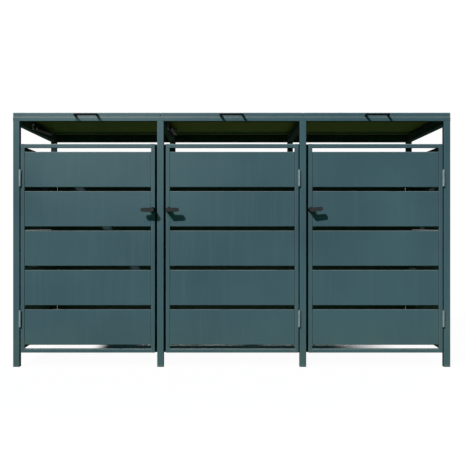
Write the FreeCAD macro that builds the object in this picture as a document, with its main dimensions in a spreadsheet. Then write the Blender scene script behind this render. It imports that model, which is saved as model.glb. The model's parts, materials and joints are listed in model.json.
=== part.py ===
import FreeCAD, Part
import math
import os
from types import SimpleNamespace

import Sketcher
from FreeCAD import Placement, Rotation, Vector

# Wheelie bin store for three bins: a frame of square tube, three lids and three slatted doors.
# Millimetres. X runs along the front, Y from front to back, Z up from the ground.

SIZES = {
    "overallWidth": 2000,
    "overallDepth": 800,
    "overallHeight": 1163,
    "middleBay": 622,
    # frame of square tube
    "postSize": 30,
    "postWall": 2,
    "postRadius": 2.5,
    "frontRailHeight": 20,
    "railHeight": 34,
    "plugPlate": 2,
    "plugDepth": 16,
    "plugPlay": 0.2,
    # lids, folded trays of sheet with a hem
    "lidDepth": 17.5,
    "lidRise": 1.5,
    "lidSeam": 2.5,
    "lidSheet": 1.5,
    "lidBend": 2.5,
    "lidHem": 12,
    "braceHeight": 12,
    "braceCrown": 30,
    "braceFlange": 12,
    "braceSheet": 1.2,
    "braceForward": 60,
    "bracePitch": 580,
    "bufferWidth": 18,
    "bufferDepth": 12,
    "bufferSpread": 140,
    "bufferPlay": 0.3,
    # doors and side walls, slats in a frame of thin square tube
    "doorTube": 18,
    "doorWall": 1.5,
    "doorRadius": 2,
    "doorLift": 65,
    "doorTopGap": 104.5,
    "hingeGap": 5,
    "latchGap": 10,
    "stopLap": 3,
    "stopSheet": 3,
    "stopPlay": 0.3,
    "slatGap": 17.5,
    "slatCount": 5,
    "slatSheet": 1.5,
    "slatFlange": 15,
    "slatLip": 8,
    "slatBend": 3,
    "slatRecess": 1,
    "slatEnd": 0.8,
    "slatEndBend": 1.2,
    # closed rear panels, one folded sheet in each bay
    "panelSheet": 1.5,
    "panelFlange": 15,
    "panelGroove": 8,
    "panelEnd": 0.3,
    # hinges
    "hingeLength": 74,
    "hingeInset": 156,
    "lidHingeInset": 110,
    "knuckleRadius": 5,
    "knucklePlay": 0.3,
    "leafSheet": 2,
    "leafStart": 7,
    "leafReach": 16,
    "leafCorner": 3,
    "pinRadius": 2.5,
    "pinPlay": 0.05,
    "pinHead": 4,
    "pinHeadHeight": 1.5,
    "pinChamfer": 0.6,
    "lidLeafOffset": 4,
    "lidLeafReach": 22,
    "lidLeafShortReach": 9,
    # latches
    "latchHeight": 718,
    "spindleInset": 12.5,
    "spindleRadius": 4,
    "roseRadius": 13.5,
    "roseTopRadius": 11.5,
    "rosePlay": 0.4,
    "leverStandoff": 32,
    "leverThickness": 12,
    "leverReach": 49,
    "leverRoot": 20,
    "leverTip": 17,
    "leverCorner": 6,
    "leverHub": 11,
    "leverEdge": 2,
    "leverTilt": 6,
    "camReach": 32,
    "camWidth": 15,
    "camCorner": 6,
    "camThickness": 3,
    "camPlay": 1.5,
    # bow handles on the lids
    "handleWidth": 111,
    "handleReach": 38,
    "handleHeight": 8,
    "handleBar": 9,
    "handleLeg": 11,
    "handleOuterCorner": 13,
    "handleInnerCorner": 5,
    "handleEdge": 2.5,
    "handleDrop": 12.5,
    # gas struts under the lids
    "strutForward": 560,
    "strutDrop": 25,
    "strutLidForward": 230,
    "strutLidDrop": 12,
    "strutSide": 13,
    "strutEye": 7,
    "strutEyeWidth": 10,
    "strutStud": 4,
    "cylinderRadius": 9,
    "cylinderWall": 1.5,
    "cylinderCap": 12,
    "glandLength": 10,
    "rodRadius": 4,
    "rodShown": 55,
    "pistonRest": 3.5,
    "pistonPlay": 0.1,
    "pistonLength": 8,
    "bracketSheet": 3,
    "bracketWidth": 40,
    "bracketCorner": 10,
    "bracketPlay": 0.3,
}

X_AXIS = Vector(1, 0, 0)
Y_AXIS = Vector(0, 1, 0)
Z_AXIS = Vector(0, 0, 1)
BAYS = 3
TOUCH = 0.01
HINGE_SIDES = ("left", "right", "right")
PLANES = {"Z": "XY_Plane", "X": "YZ_Plane", "Y": "XZ_Plane"}

doc = FreeCAD.newDocument("BinStore")
nodes = []


class Size:
    """A length with the expression that gives it from the sheet."""

    def __init__(self, value, text):
        self.value = float(value)
        self.text = text

    def __add__(self, other):
        other = as_size(other)
        return Size(self.value + other.value, f"({self.text} + {other.text})")

    def __sub__(self, other):
        other = as_size(other)
        return Size(self.value - other.value, f"({self.text} - {other.text})")

    def __mul__(self, other):
        other = as_size(other)
        return Size(self.value * other.value, f"({self.text} * {other.text})")

    def __truediv__(self, other):
        other = as_size(other)
        return Size(self.value / other.value, f"({self.text} / {other.text})")

    def __neg__(self):
        return Size(-self.value, f"(0 - {self.text})")

    def __radd__(self, other):
        return as_size(other) + self

    def __rsub__(self, other):
        return as_size(other) - self

    def __rmul__(self, other):
        return as_size(other) * self


def hypotenuse(run, rise):
    value = math.hypot(run.value, rise.value)
    return Size(value, f"hypot({run.text}; {rise.text})")


def as_size(value):
    if isinstance(value, Size):
        return value
    return Size(value, f"({float(value):.9f})")


def make_sheet():
    sheet = doc.addObject("Spreadsheet::Sheet", "Sizes")
    for row, (name, value) in enumerate(SIZES.items(), start=1):
        sheet.set(f"A{row}", str(value))
        sheet.setAlias(f"A{row}", name)
    doc.recompute()
    return SimpleNamespace(**{name: Size(value, f"Sizes.{name}") for name, value in SIZES.items()})


d = make_sheet()


def make_places():
    """Heights and places that several pieces share."""
    p = SimpleNamespace()
    p.lidBottom = d.overallHeight - d.lidDepth
    p.railTop = p.lidBottom - d.lidRise
    p.railBottom = p.railTop - d.railHeight
    p.frontRailBottom = p.railTop - d.frontRailHeight
    p.doorHeight = p.frontRailBottom - d.doorTopGap - d.doorLift
    slat_room = p.doorHeight - 2 * d.doorTube - (d.slatCount + 1) * d.slatGap
    p.slatHeight = slat_room / d.slatCount
    p.slatPitch = p.slatHeight + d.slatGap
    # the levers reach furthest to the front, the lid hinges to the back
    p.leafOffset = (d.hingeGap / 2) - d.leafSheet
    p.lidAxisBack = d.lidLeafOffset + d.leafSheet
    front_reach = d.leverStandoff + d.leverThickness
    rear_reach = p.lidAxisBack + d.knuckleRadius
    p.front = (front_reach - rear_reach - d.overallDepth) / 2
    p.rear = p.front + d.overallDepth
    half_width = d.overallWidth / 2
    half_bay = d.middleBay / 2
    p.postLeft = [-half_width, -half_bay - d.postSize, half_bay, half_width - d.postSize]
    p.bayWidth = [p.postLeft[bay + 1] - p.postLeft[bay] - d.postSize for bay in range(BAYS)]
    p.bayDepth = d.overallDepth - 2 * d.postSize
    p.doorWidth = [width - d.hingeGap - d.latchGap for width in p.bayWidth]
    p.doorLeft = []
    p.hingeX = []
    p.spindleX = []
    for bay, side in enumerate(HINGE_SIDES):
        left = p.postLeft[bay] + d.postSize
        if side == "left":
            p.doorLeft.append(left + d.hingeGap)
            p.hingeX.append(left + d.hingeGap / 2)
            p.spindleX.append(left + d.hingeGap + p.doorWidth[bay] - d.spindleInset)
        else:
            p.doorLeft.append(left + d.latchGap)
            p.hingeX.append(left + p.bayWidth[bay] - d.hingeGap / 2)
            p.spindleX.append(left + d.latchGap + d.spindleInset)
    p.hingeZ = [d.doorLift + d.hingeInset, d.doorLift + p.doorHeight - d.hingeInset]
    p.hingeY = p.front - d.knuckleRadius
    p.knuckleLength = (d.hingeLength - 2 * d.knucklePlay) / 3
    half_seam = d.lidSeam / 2
    seams = [p.postLeft[bay] + d.postSize / 2 for bay in range(1, BAYS)]
    p.lidLeft = [as_size(0) - d.overallWidth / 2] + [seam + half_seam for seam in seams]
    p.lidRight = [seam - half_seam for seam in seams] + [d.overallWidth / 2]
    p.lidAxisY = p.rear + p.lidAxisBack
    p.lidAxisZ = p.railTop + (d.lidRise / 2)
    p.strutY = p.lidAxisY - d.strutForward
    p.strutZ = p.lidAxisZ - d.strutDrop
    p.strutX = [p.postLeft[bay] + d.postSize + d.strutSide for bay in range(BAYS)]
    p.strutRise = d.strutDrop - d.strutLidDrop
    p.strutRun = d.strutForward - d.strutLidForward
    p.strutLength = hypotenuse(p.strutRun, p.strutRise)
    p.cylinderLength = p.strutLength - d.rodShown
    p.strutTurn = Rotation(X_AXIS, math.degrees(math.atan2(p.strutRise.value, p.strutRun.value)) - 90)
    return p


p = make_places()


def node(piece):
    """List a finished sub-part for the export."""
    nodes.append(piece)
    return piece


def put(piece, x=0, y=0, z=0, turn=None):
    base = [as_size(value) for value in (x, y, z)]
    piece.Placement = Placement(Vector(*[value.value for value in base]), turn or Rotation())
    for letter, value in zip("xyz", base):
        piece.setExpression(f"Placement.Base.{letter}", value.text)
    return piece


def make_body(name):
    body = doc.addObject("PartDesign::Body", name)
    body.Label = name
    body.AllowCompound = True
    return body


def make_sketch(body, plane, shift=0):
    """A sketch on one of the body's own planes, moved along the plane's normal."""
    sketch = body.newObject("Sketcher::SketchObject", "outline")
    support = next(item for item in body.Origin.OriginFeatures if item.Role == plane)
    sketch.AttachmentSupport = [(support, "")]
    sketch.MapMode = "FlatFace"
    sketch.setExpression("AttachmentOffset.Base.z", as_size(shift).text)
    return sketch


def add_drawing(sketch, geometry, rules):
    """Add geometry and the rules that fix it. A rule is a constraint and its size, or None."""
    sketch.addGeometry(geometry, False)
    first = len(sketch.Constraints)
    sketch.addConstraint([rule for rule, size in rules])
    for index, (rule, size) in enumerate(rules, start=first):
        if size is not None:
            sketch.setExpression(f"Constraints[{index}]", size.text)


def point_rules(geometry, end, x, y):
    rules = []
    for kind, value in (("DistanceX", x), ("DistanceY", y)):
        value = as_size(value)
        rules.append((Sketcher.Constraint(kind, -1, 1, geometry, end, value.value), value))
    return rules


def radius_rule(geometry, radius):
    radius = as_size(radius)
    return (Sketcher.Constraint("Radius", geometry, radius.value), radius)


def draw_circle(sketch, x, y, radius):
    index = sketch.GeometryCount
    center = Vector(as_size(x).value, as_size(y).value, 0)
    circle = Part.Circle(center, Z_AXIS, as_size(radius).value)
    add_drawing(sketch, [circle], point_rules(index, 3, x, y) + [radius_rule(index, radius)])


def round_corner(before, corner, after):
    """Where a corner's arc begins and ends, and its centre."""
    x, y, radius = corner
    ways = []
    for other in (before, after):
        across = other[0].value - x.value
        along = other[1].value - y.value
        length = math.hypot(across, along)
        ways.append((across / length, along / length))
    (in_x, in_y), (out_x, out_y) = ways
    half = math.acos(in_x * out_x + in_y * out_y) / 2
    cut = radius * (1 / math.tan(half))
    middle = radius * (1 / (math.sin(half) * math.hypot(in_x + out_x, in_y + out_y)))
    return SimpleNamespace(
        enter=(x + cut * in_x, y + cut * in_y),
        leave=(x + cut * out_x, y + cut * out_y),
        center=(x + middle * (in_x + out_x), y + middle * (in_y + out_y)),
        left_turn=in_y * out_x - in_x * out_y > 0,
    )


def draw_outline(sketch, corners):
    """A closed outline of straight lines, with an arc at each corner that has a radius."""
    corners = [tuple(as_size(value) for value in corner) for corner in corners]
    count = len(corners)
    base = sketch.GeometryCount
    arcs = []
    for index, corner in enumerate(corners):
        if corner[2].value > 0:
            arcs.append(round_corner(corners[index - 1], corner, corners[(index + 1) % count]))
        else:
            arcs.append(None)
    geometry = []
    rules = []
    for index in range(count):
        follow = (index + 1) % count
        start = arcs[index].leave if arcs[index] else corners[index][:2]
        end = arcs[follow].enter if arcs[follow] else corners[follow][:2]
        points = [Vector(point[0].value, point[1].value, 0) for point in (start, end)]
        geometry.append(Part.LineSegment(*points))
        rules += point_rules(base + index, 1, *start)
        if arcs[follow]:
            rules += point_rules(base + index, 2, *end)
    for index in range(count):
        before = base + (index - 1) % count
        if arcs[index] is None:
            rules.append((Sketcher.Constraint("Coincident", before, 2, base + index, 1), None))
            continue
        first, last = (1, 2) if arcs[index].left_turn else (2, 1)
        arc = base + len(geometry)
        geometry.append(arc_geometry(arcs[index], corners[index][2]))
        rules.append((Sketcher.Constraint("Coincident", before, 2, arc, first), None))
        rules.append((Sketcher.Constraint("Coincident", base + index, 1, arc, last), None))
        rules.append(radius_rule(arc, corners[index][2]))
    add_drawing(sketch, geometry, rules)


def arc_geometry(arc, radius):
    center = Vector(arc.center[0].value, arc.center[1].value, 0)
    angles = []
    for point in (arc.enter, arc.leave):
        angles.append(math.atan2(point[1].value - center.y, point[0].value - center.x))
    start, end = angles if arc.left_turn else angles[::-1]
    return Part.ArcOfCircle(Part.Circle(center, Z_AXIS, radius.value), start, end)


def rectangle(x0, y0, x1, y1, radius=0):
    return [(x0, y0, radius), (x1, y0, radius), (x1, y1, radius), (x0, y1, radius)]


def folded(points, sheet, bend):
    """The outline of a folded sheet whose thickness lies left of a line of right-angled runs."""
    points = [(as_size(x), as_size(y)) for x, y in points]
    ways = []
    for here, ahead in zip(points, points[1:]):
        across = ahead[0].value - here[0].value
        along = ahead[1].value - here[1].value
        length = math.hypot(across, along)
        ways.append((across / length, along / length))
    inner_bend = bend - sheet
    given = []
    offset = []
    for index, (x, y) in enumerate(points):
        before = ways[max(index - 1, 0)]
        after = ways[min(index, len(ways) - 1)]
        sides = {(-before[1], before[0]), (-after[1], after[0])}
        turn = before[0] * after[1] - before[1] * after[0]
        outer = bend if turn > 0 else inner_bend
        inner = inner_bend if turn > 0 else bend
        if index in (0, len(points) - 1):
            outer = inner = 0
        given.append((x, y, outer))
        offset_x = x + sheet * sum(side[0] for side in sides)
        offset_y = y + sheet * sum(side[1] for side in sides)
        offset.append((offset_x, offset_y, inner))
    return given + offset[::-1]


def pad(body, sketch, length, back=False):
    feature = body.newObject("PartDesign::Pad", "pad")
    feature.Profile = sketch
    feature.setExpression("Length", as_size(length).text)
    feature.Reversed = back
    body.Tip = feature
    return feature


def cut_hole(body, sketch):
    """Cut the sketch's outline right through, both ways."""
    feature = body.newObject("PartDesign::Pocket", "hole")
    feature.Profile = sketch
    feature.Type = "ThroughAll"
    feature.Midplane = True
    body.Tip = feature
    return feature


def cut_pocket(body, sketch, depth):
    """Cut upwards from the sketch's plane."""
    feature = body.newObject("PartDesign::Pocket", "pocket")
    feature.Profile = sketch
    feature.setExpression("Length", as_size(depth).text)
    feature.Reversed = True
    body.Tip = feature
    return feature


def revolve(body, sketch):
    """Turn the sketch about its own vertical axis."""
    feature = body.newObject("PartDesign::Revolution", "turned")
    feature.Profile = sketch
    feature.ReferenceAxis = (sketch, ["V_Axis"])
    feature.Angle = 360
    body.Tip = feature
    return feature


def repeat_up(body, sketch, pitch, count):
    """Repeat all that the body holds so far, up the sketch's vertical axis."""
    row = body.newObject("PartDesign::LinearPattern", "row")
    row.TransformMode = "Whole shape"
    row.Direction = (sketch, ["V_Axis"])
    row.Mode = "Spacing"
    row.setExpression("Offset", as_size(pitch).text)
    row.setExpression("Occurrences", as_size(count).text)
    body.Tip = row
    return row


def round_edges(body, radius, chosen):
    """Round the edges of the body's last feature for which chosen(edge) is true."""
    doc.recompute()
    base = body.Tip
    names = [f"Edge{i}" for i, edge in enumerate(base.Shape.Edges, start=1) if chosen(edge)]
    feature = body.newObject("PartDesign::Fillet", "rounding")
    feature.Base = (base, names)
    feature.setExpression("Radius", as_size(radius).text)
    body.Tip = feature
    return feature


def level_with(letter, *heights):
    """A test for edges that lie wholly at one of the heights along an axis."""
    values = [as_size(height).value for height in heights]
    low, high = letter.upper() + "Min", letter.upper() + "Max"

    def chosen(edge):
        box = edge.BoundBox
        flat = getattr(box, high) - getattr(box, low) < TOUCH
        return flat and any(abs(getattr(box, low) - value) < TOUCH for value in values)

    return chosen


def repeat(name, piece, places):
    """One node that holds copies of a piece, each a separate solid."""
    put(piece, *places[0])
    members = [piece]
    for index, place in enumerate(places[1:], start=2):
        copy = doc.addObject("App::Link", f"{name}_copy_{index}")
        copy.LinkedObject = piece
        members.append(put(copy, *place))
    return gather(name, members)


def gather(name, members):
    group = doc.addObject("Part::Compound", name)
    group.Label = name
    group.Links = members
    return group


def make_tube(name, axis, across, up, length, wall, radius):
    """Square tube along an axis, its low corner at the origin."""
    body = make_body(name)
    sketch = make_sketch(body, PLANES[axis])
    draw_outline(sketch, rectangle(0, 0, across, up, radius))
    draw_outline(sketch, rectangle(wall, wall, across - wall, up - wall))
    pad(body, sketch, length, back=axis == "Y")
    return body


def make_post(name, x, y, top):
    height = top - d.plugPlate
    post = make_tube(name, "Z", d.postSize, d.postSize, height, d.postWall, d.postRadius)
    return put(post, x, y, d.plugPlate)


def make_door_stops(index):
    """Flat bars on a front post, each behind the latch stile of the door beside it."""
    reach = d.latchGap + d.stopLap
    sides = []
    if index > 0 and HINGE_SIDES[index - 1] == "left":
        sides.append(("left", p.postLeft[index] - reach))
    if index < BAYS and HINGE_SIDES[index] == "right":
        sides.append(("right", p.postLeft[index] + d.postSize))
    stops = []
    for side, x in sides:
        stop = make_body(f"door_stop_{index + 1}_{side}")
        sketch = make_sketch(stop, "XY_Plane")
        draw_outline(sketch, rectangle(0, 0, reach, d.stopSheet))
        pad(stop, sketch, p.doorHeight)
        stops.append(put(stop, x, p.front + d.doorTube + d.stopPlay, d.doorLift))
    return stops


def make_posts():
    for index, x in enumerate(p.postLeft):
        name = f"front_post_{index + 1}"
        stops = make_door_stops(index)
        if stops:
            post = make_post(f"{name}_tube", x, p.front, p.frontRailBottom)
            node(gather(name, [post] + stops))
        else:
            node(make_post(name, x, p.front, p.frontRailBottom))
        rear = p.rear - d.postSize
        node(make_post(f"rear_post_{index + 1}", x, rear, p.railBottom))


def make_top_rails():
    length = d.overallWidth - 2 * d.plugPlate
    start = d.plugPlate - d.overallWidth / 2
    front = make_tube(
        "front_top_rail", "X", d.postSize, d.frontRailHeight, length, d.postWall, d.postRadius
    )
    node(put(front, start, p.front, p.frontRailBottom))
    rear = make_tube(
        "rear_top_rail", "X", d.postSize, d.railHeight, length, d.postWall, d.postRadius
    )
    node(put(rear, start, p.rear - d.postSize, p.railBottom))
    cross = make_tube(
        "cross_rail", "Y", d.postSize, d.railHeight, p.bayDepth, d.postWall, d.postRadius
    )
    places = [(x, p.front + d.postSize, p.railBottom) for x in p.postLeft]
    node(repeat("top_cross_rails", cross, places))


def make_plug(name, across, up):
    """A plug for an open tube end: a plate with a tapered spigot."""
    body = make_body(name)
    plate = make_sketch(body, "XY_Plane")
    draw_outline(plate, rectangle(-across / 2, -up / 2, across / 2, up / 2, d.postRadius))
    pad(body, plate, d.plugPlate)
    spigot = make_sketch(body, "XY_Plane")
    half_x = across / 2 - d.postWall - d.plugPlay
    half_y = up / 2 - d.postWall - d.plugPlay
    draw_outline(spigot, rectangle(-half_x, -half_y, half_x, half_y))
    pad(body, spigot, d.plugPlate + d.plugDepth)
    return body


def make_end_plugs():
    half = d.postSize / 2
    foot = make_plug("foot_plug", d.postSize, d.postSize)
    rows = (p.front + half, p.rear - half)
    plugs = [repeat("foot_plugs", foot, [(x + half, y, 0) for y in rows for x in p.postLeft])]
    inwards = {-1: Rotation(Y_AXIS, 90), 1: Rotation(Y_AXIS, -90)}
    rails = (
        ("front", d.frontRailHeight, p.front + half),
        ("rear", d.railHeight, p.rear - half),
    )
    for row, height, y in rails:
        plug = make_plug(f"{row}_rail_plug", height, d.postSize)
        z = p.railTop - height / 2
        places = [(side * d.overallWidth / 2, y, z, inwards[side]) for side in (-1, 1)]
        plugs.append(repeat(f"{row}_rail_plugs", plug, places))
    node(gather("tube_end_plugs", plugs))


def make_panel_frame(name, width, spindle_x=None):
    """Four tubes round a slatted panel. The panel's low front left corner is the origin."""
    inner = width - 2 * d.doorTube
    stiles = []
    for side, x in (("left", as_size(0)), ("right", width - d.doorTube)):
        stile = make_tube(
            f"{name}_{side}", "Z", d.doorTube, d.doorTube, p.doorHeight, d.doorWall, d.doorRadius
        )
        if spindle_x is not None and 0 < spindle_x.value - x.value < d.doorTube.value:
            hole = make_sketch(stile, "XZ_Plane")
            radius = d.spindleRadius + d.rosePlay
            draw_circle(hole, spindle_x - x, d.latchHeight - d.doorLift, radius)
            cut_hole(stile, hole)
        stiles.append(put(stile, x))
    rails = []
    for level, z in (("bottom", as_size(0)), ("top", p.doorHeight - d.doorTube)):
        rail = make_tube(
            f"{name}_{level}", "X", d.doorTube, d.doorTube, inner, d.doorWall, d.doorRadius
        )
        rails.append(put(rail, d.doorTube, 0, z))
    return gather(name, stiles + rails)


def make_slats(name, width, closed=False):
    """A column of folded trays in a panel's frame; a strip closes the gap under each, if closed."""
    body = make_body(name)
    start = d.doorTube + d.slatEnd
    length = width - 2 * start
    face = d.slatRecess
    back = d.slatRecess + d.slatFlange
    low = d.doorTube + d.slatGap
    high = low + p.slatHeight
    line = [
        (back, high - d.slatLip),
        (back, high),
        (face, high),
        (face, low),
        (back, low),
        (back, low + d.slatLip),
    ]
    sketch = make_sketch(body, "YZ_Plane", start)
    draw_outline(sketch, folded(line, d.slatSheet, d.slatBend))
    pad(body, sketch, length)
    for end in (start, start + length - d.slatSheet):
        plate = make_sketch(body, "YZ_Plane", end)
        draw_outline(plate, rectangle(face, low, back, high, d.slatBend))
        pad(body, plate, d.slatSheet)
    round_edges(body, d.slatEndBend, level_with("x", start, start + length))
    if closed:
        strip = make_sketch(body, "YZ_Plane", start)
        bottom = low - d.slatGap + d.slatEnd
        draw_outline(strip, rectangle(back, bottom, back + d.slatSheet, low + d.slatLip))
        pad(body, strip, length)
    repeat_up(body, sketch, p.slatPitch, d.slatCount)
    return body


def make_side_walls():
    walls = (
        ("left", -d.overallWidth / 2, p.rear - d.postSize, Rotation(Z_AXIS, -90)),
        ("right", d.overallWidth / 2, p.front + d.postSize, Rotation(Z_AXIS, 90)),
    )
    for side, x, y, turn in walls:
        node(put(make_panel_frame(f"side_frame_{side}", p.bayDepth), x, y, d.doorLift, turn))
        slats = make_slats(f"side_slats_{side}", p.bayDepth, closed=True)
        node(put(slats, x, y, d.doorLift, turn))


def groove_line(bottom, top):
    """The folded line down through a groove, from above its top edge to below its bottom."""
    zero = as_size(0)
    return [(zero, top), (d.panelGroove, top), (d.panelGroove, bottom), (zero, bottom)]


def make_rear_panels():
    """Closed sheets whose folded grooves stand where the doors have gaps between slats."""
    zero = as_size(0)
    lap = 2 * d.slatBend
    lowest = d.doorTube
    highest = p.doorHeight - d.doorTube - d.slatGap
    foot = [(zero, lowest - d.slatBend), (zero, zero), (d.panelFlange, zero)]
    middle = [(zero, lowest + p.slatPitch - d.slatBend)]
    middle += groove_line(lowest, lowest + d.slatGap) + [(zero, lowest - lap)]
    head = [(d.panelFlange, p.doorHeight), (zero, p.doorHeight)]
    head += groove_line(highest, highest + d.slatGap) + [(zero, highest - lap)]
    for bay in range(BAYS):
        width = p.bayWidth[bay] - 2 * d.panelEnd
        panel = make_body(f"rear_panel_{bay + 1}")
        sketch = make_sketch(panel, "YZ_Plane")
        draw_outline(sketch, folded(middle, d.panelSheet, d.slatBend))
        pad(panel, sketch, width)
        repeat_up(panel, sketch, p.slatPitch, d.slatCount)
        for line in (foot, head):
            sketch = make_sketch(panel, "YZ_Plane")
            draw_outline(sketch, folded(line, d.panelSheet, d.slatBend))
            pad(panel, sketch, width)
        right = p.postLeft[bay + 1] - d.panelEnd
        node(put(panel, right, p.rear, d.doorLift, Rotation(Z_AXIS, 180)))


def make_leaf(name, offset, reach, starts):
    """A hinge leaf: a plate, knuckles about the Z axis and the webs between them."""
    body = make_body(name)
    half = d.hingeLength / 2
    side = offset + d.leafSheet
    plate = make_sketch(body, "XY_Plane", -half)
    draw_outline(plate, rectangle(offset, d.leafStart, side, d.leafStart + reach))
    pad(body, plate, d.hingeLength)
    tip = (d.leafStart + reach).value

    def is_plate_corner(edge):
        box = edge.BoundBox
        return box.YMin > tip - TOUCH and box.ZLength < TOUCH

    round_edges(body, d.leafCorner, is_plate_corner)
    for start in starts:
        web = make_sketch(body, "XY_Plane", start)
        draw_outline(web, rectangle(offset, 0, side, d.leafStart))
        pad(body, web, p.knuckleLength)
        knuckle = make_sketch(body, "XY_Plane", start)
        draw_circle(knuckle, 0, 0, d.knuckleRadius)
        pad(body, knuckle, p.knuckleLength)
    hole = make_sketch(body, "XY_Plane")
    draw_circle(hole, 0, 0, d.pinRadius + d.pinPlay)
    cut_hole(body, hole)
    return body


def make_pin(name):
    """A turned hinge pin with a flat head at each end."""
    body = make_body(name)
    sketch = make_sketch(body, "XZ_Plane")
    shoulder = d.hingeLength / 2 + d.pinPlay
    end = shoulder + d.pinHeadHeight
    profile = [
        (0, -end, 0),
        (d.pinHead - d.pinChamfer, -end, 0),
        (d.pinHead, -end + d.pinChamfer, 0),
        (d.pinHead, -shoulder, 0),
        (d.pinRadius, -shoulder, 0),
        (d.pinRadius, shoulder, 0),
        (d.pinHead, shoulder, 0),
        (d.pinHead, end - d.pinChamfer, 0),
        (d.pinHead - d.pinChamfer, end, 0),
        (0, end, 0),
    ]
    draw_outline(sketch, profile)
    revolve(body, sketch)
    return body


def make_hinges():
    half = d.hingeLength / 2
    ends = [-half, half - p.knuckleLength]
    middle = [-p.knuckleLength / 2]
    facing = {"left": Rotation(Y_AXIS, 180), "right": Rotation()}
    to_left = Rotation(Y_AXIS, 180)
    door_places = [
        (p.hingeX[bay], p.hingeY, z, facing[HINGE_SIDES[bay]]) for bay in range(BAYS) for z in p.hingeZ
    ]
    fixed = make_leaf("door_fixed_leaf", p.leafOffset, d.leafReach, ends)
    node(repeat("door_hinge_fixed_leaves", fixed, door_places))
    for bay in range(BAYS):
        moving = make_leaf(f"door_moving_leaf_{bay + 1}", p.leafOffset, d.leafReach, middle)
        places = [(x, y, z, turn * to_left) for x, y, z, turn in door_places[2 * bay:2 * bay + 2]]
        node(repeat(f"door_hinge_leaves_{bay + 1}", moving, places))
    lid_down = Rotation(-Y_AXIS, -Z_AXIS, X_AXIS, "XYZ")
    lid_up = Rotation(-Y_AXIS, Z_AXIS, -X_AXIS, "XYZ")
    lid_x = []
    for bay in range(BAYS):
        lid_x += [p.lidLeft[bay] + d.lidHingeInset, p.lidRight[bay] - d.lidHingeInset]
    lid_places = [(x, p.lidAxisY, p.lidAxisZ, lid_down) for x in lid_x]
    fixed = make_leaf("lid_fixed_leaf", d.lidLeafOffset, d.lidLeafReach, ends)
    node(repeat("lid_hinge_fixed_leaves", fixed, lid_places))
    for bay in range(BAYS):
        moving = make_leaf(f"lid_moving_leaf_{bay + 1}", d.lidLeafOffset, d.lidLeafShortReach, middle)
        places = [(x, y, z, lid_up) for x, y, z, turn in lid_places[2 * bay:2 * bay + 2]]
        node(repeat(f"lid_hinge_leaves_{bay + 1}", moving, places))
    pins = door_places + lid_places
    node(repeat("hinge_pins", make_pin("hinge_pin"), pins))


def make_rose(name):
    """The latch's bearing, a tapered round boss on the stile."""
    body = make_body(name)
    sketch = make_sketch(body, "XY_Plane")
    bore = d.spindleRadius + d.pinPlay
    top = d.rosePlay - d.leverStandoff
    profile = [
        (bore, 0, 0),
        (bore, top, 0),
        (d.roseTopRadius, top, d.leverEdge),
        (d.roseRadius, 0, 0),
    ]
    draw_outline(sketch, profile)
    revolve(body, sketch)
    return body


def make_lever(name):
    """The latch lever with its hub and the spindle that reaches through the stile."""
    body = make_body(name)
    arm = make_sketch(body, "XZ_Plane", d.leverStandoff)
    half_root = d.leverRoot / 2
    half_tip = d.leverTip / 2
    outline = [
        (0, -half_root, 0),
        (d.leverReach, -half_tip, d.leverCorner),
        (d.leverReach, half_tip, d.leverCorner),
        (0, half_root, 0),
    ]
    draw_outline(arm, outline)
    pad(body, arm, d.leverThickness)
    hub = make_sketch(body, "XZ_Plane", d.leverStandoff)
    draw_circle(hub, 0, 0, d.leverHub)
    pad(body, hub, d.leverThickness)
    round_edges(body, d.leverEdge, level_with("y", -d.leverStandoff - d.leverThickness))
    spindle = make_sketch(body, "XZ_Plane", d.leverStandoff)
    draw_circle(spindle, 0, 0, d.spindleRadius)
    behind = d.postSize + d.camPlay + d.camThickness
    pad(body, spindle, d.leverStandoff + behind, back=True)
    return body


def make_cam(name):
    """The plate behind the door that turns in behind the post."""
    body = make_body(name)
    sketch = make_sketch(body, "XZ_Plane", -(d.postSize + d.camPlay))
    half = d.camWidth / 2
    draw_outline(sketch, rectangle(-half, -d.camReach, half, half, d.camCorner))
    draw_circle(sketch, 0, 0, d.spindleRadius + d.pinPlay)
    pad(body, sketch, d.camThickness, back=True)
    return body


def make_doors():
    for bay, side in enumerate(HINGE_SIDES):
        number = bay + 1
        left = p.doorLeft[bay]
        spindle = p.spindleX[bay]
        width = p.doorWidth[bay]
        frame = make_panel_frame(f"door_frame_{number}", width, spindle - left)
        node(put(frame, left, p.front, d.doorLift))
        node(put(make_slats(f"door_slats_{number}", width), left, p.front, d.doorLift))
        axis = (spindle, p.front, d.latchHeight)
        node(put(make_rose(f"latch_rose_{number}"), *axis))
        turn = Rotation(Y_AXIS, 180) if side == "left" else Rotation()
        if number == BAYS:
            turn = Rotation(Y_AXIS, -d.leverTilt.value)
        node(put(make_lever(f"latch_lever_{number}"), *axis, turn))
        node(put(make_cam(f"latch_cam_{number}"), *axis))


def make_lid_panel(name, width):
    """A folded tray, its low front left corner at the origin, hemmed round the bottom."""
    body = make_body(name)
    outer = make_sketch(body, "XY_Plane")
    draw_outline(outer, rectangle(0, 0, width, d.overallDepth))
    pad(body, outer, d.lidDepth)
    depth = d.lidDepth.value

    def is_outer_bend(edge):
        box = edge.BoundBox
        return box.ZMin > depth - TOUCH or box.ZLength > depth - TOUCH

    round_edges(body, d.lidBend, is_outer_bend)
    levels = (
        (d.lidSheet + d.lidHem, as_size(0), d.lidSheet),
        (d.lidSheet, d.lidSheet, d.lidDepth - 2 * d.lidSheet),
    )
    for inset, level, height in levels:
        inner = make_sketch(body, "XY_Plane", level)
        draw_outline(inner, rectangle(inset, inset, width - inset, d.overallDepth - inset))
        cut_pocket(body, inner, height)
    return body


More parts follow.
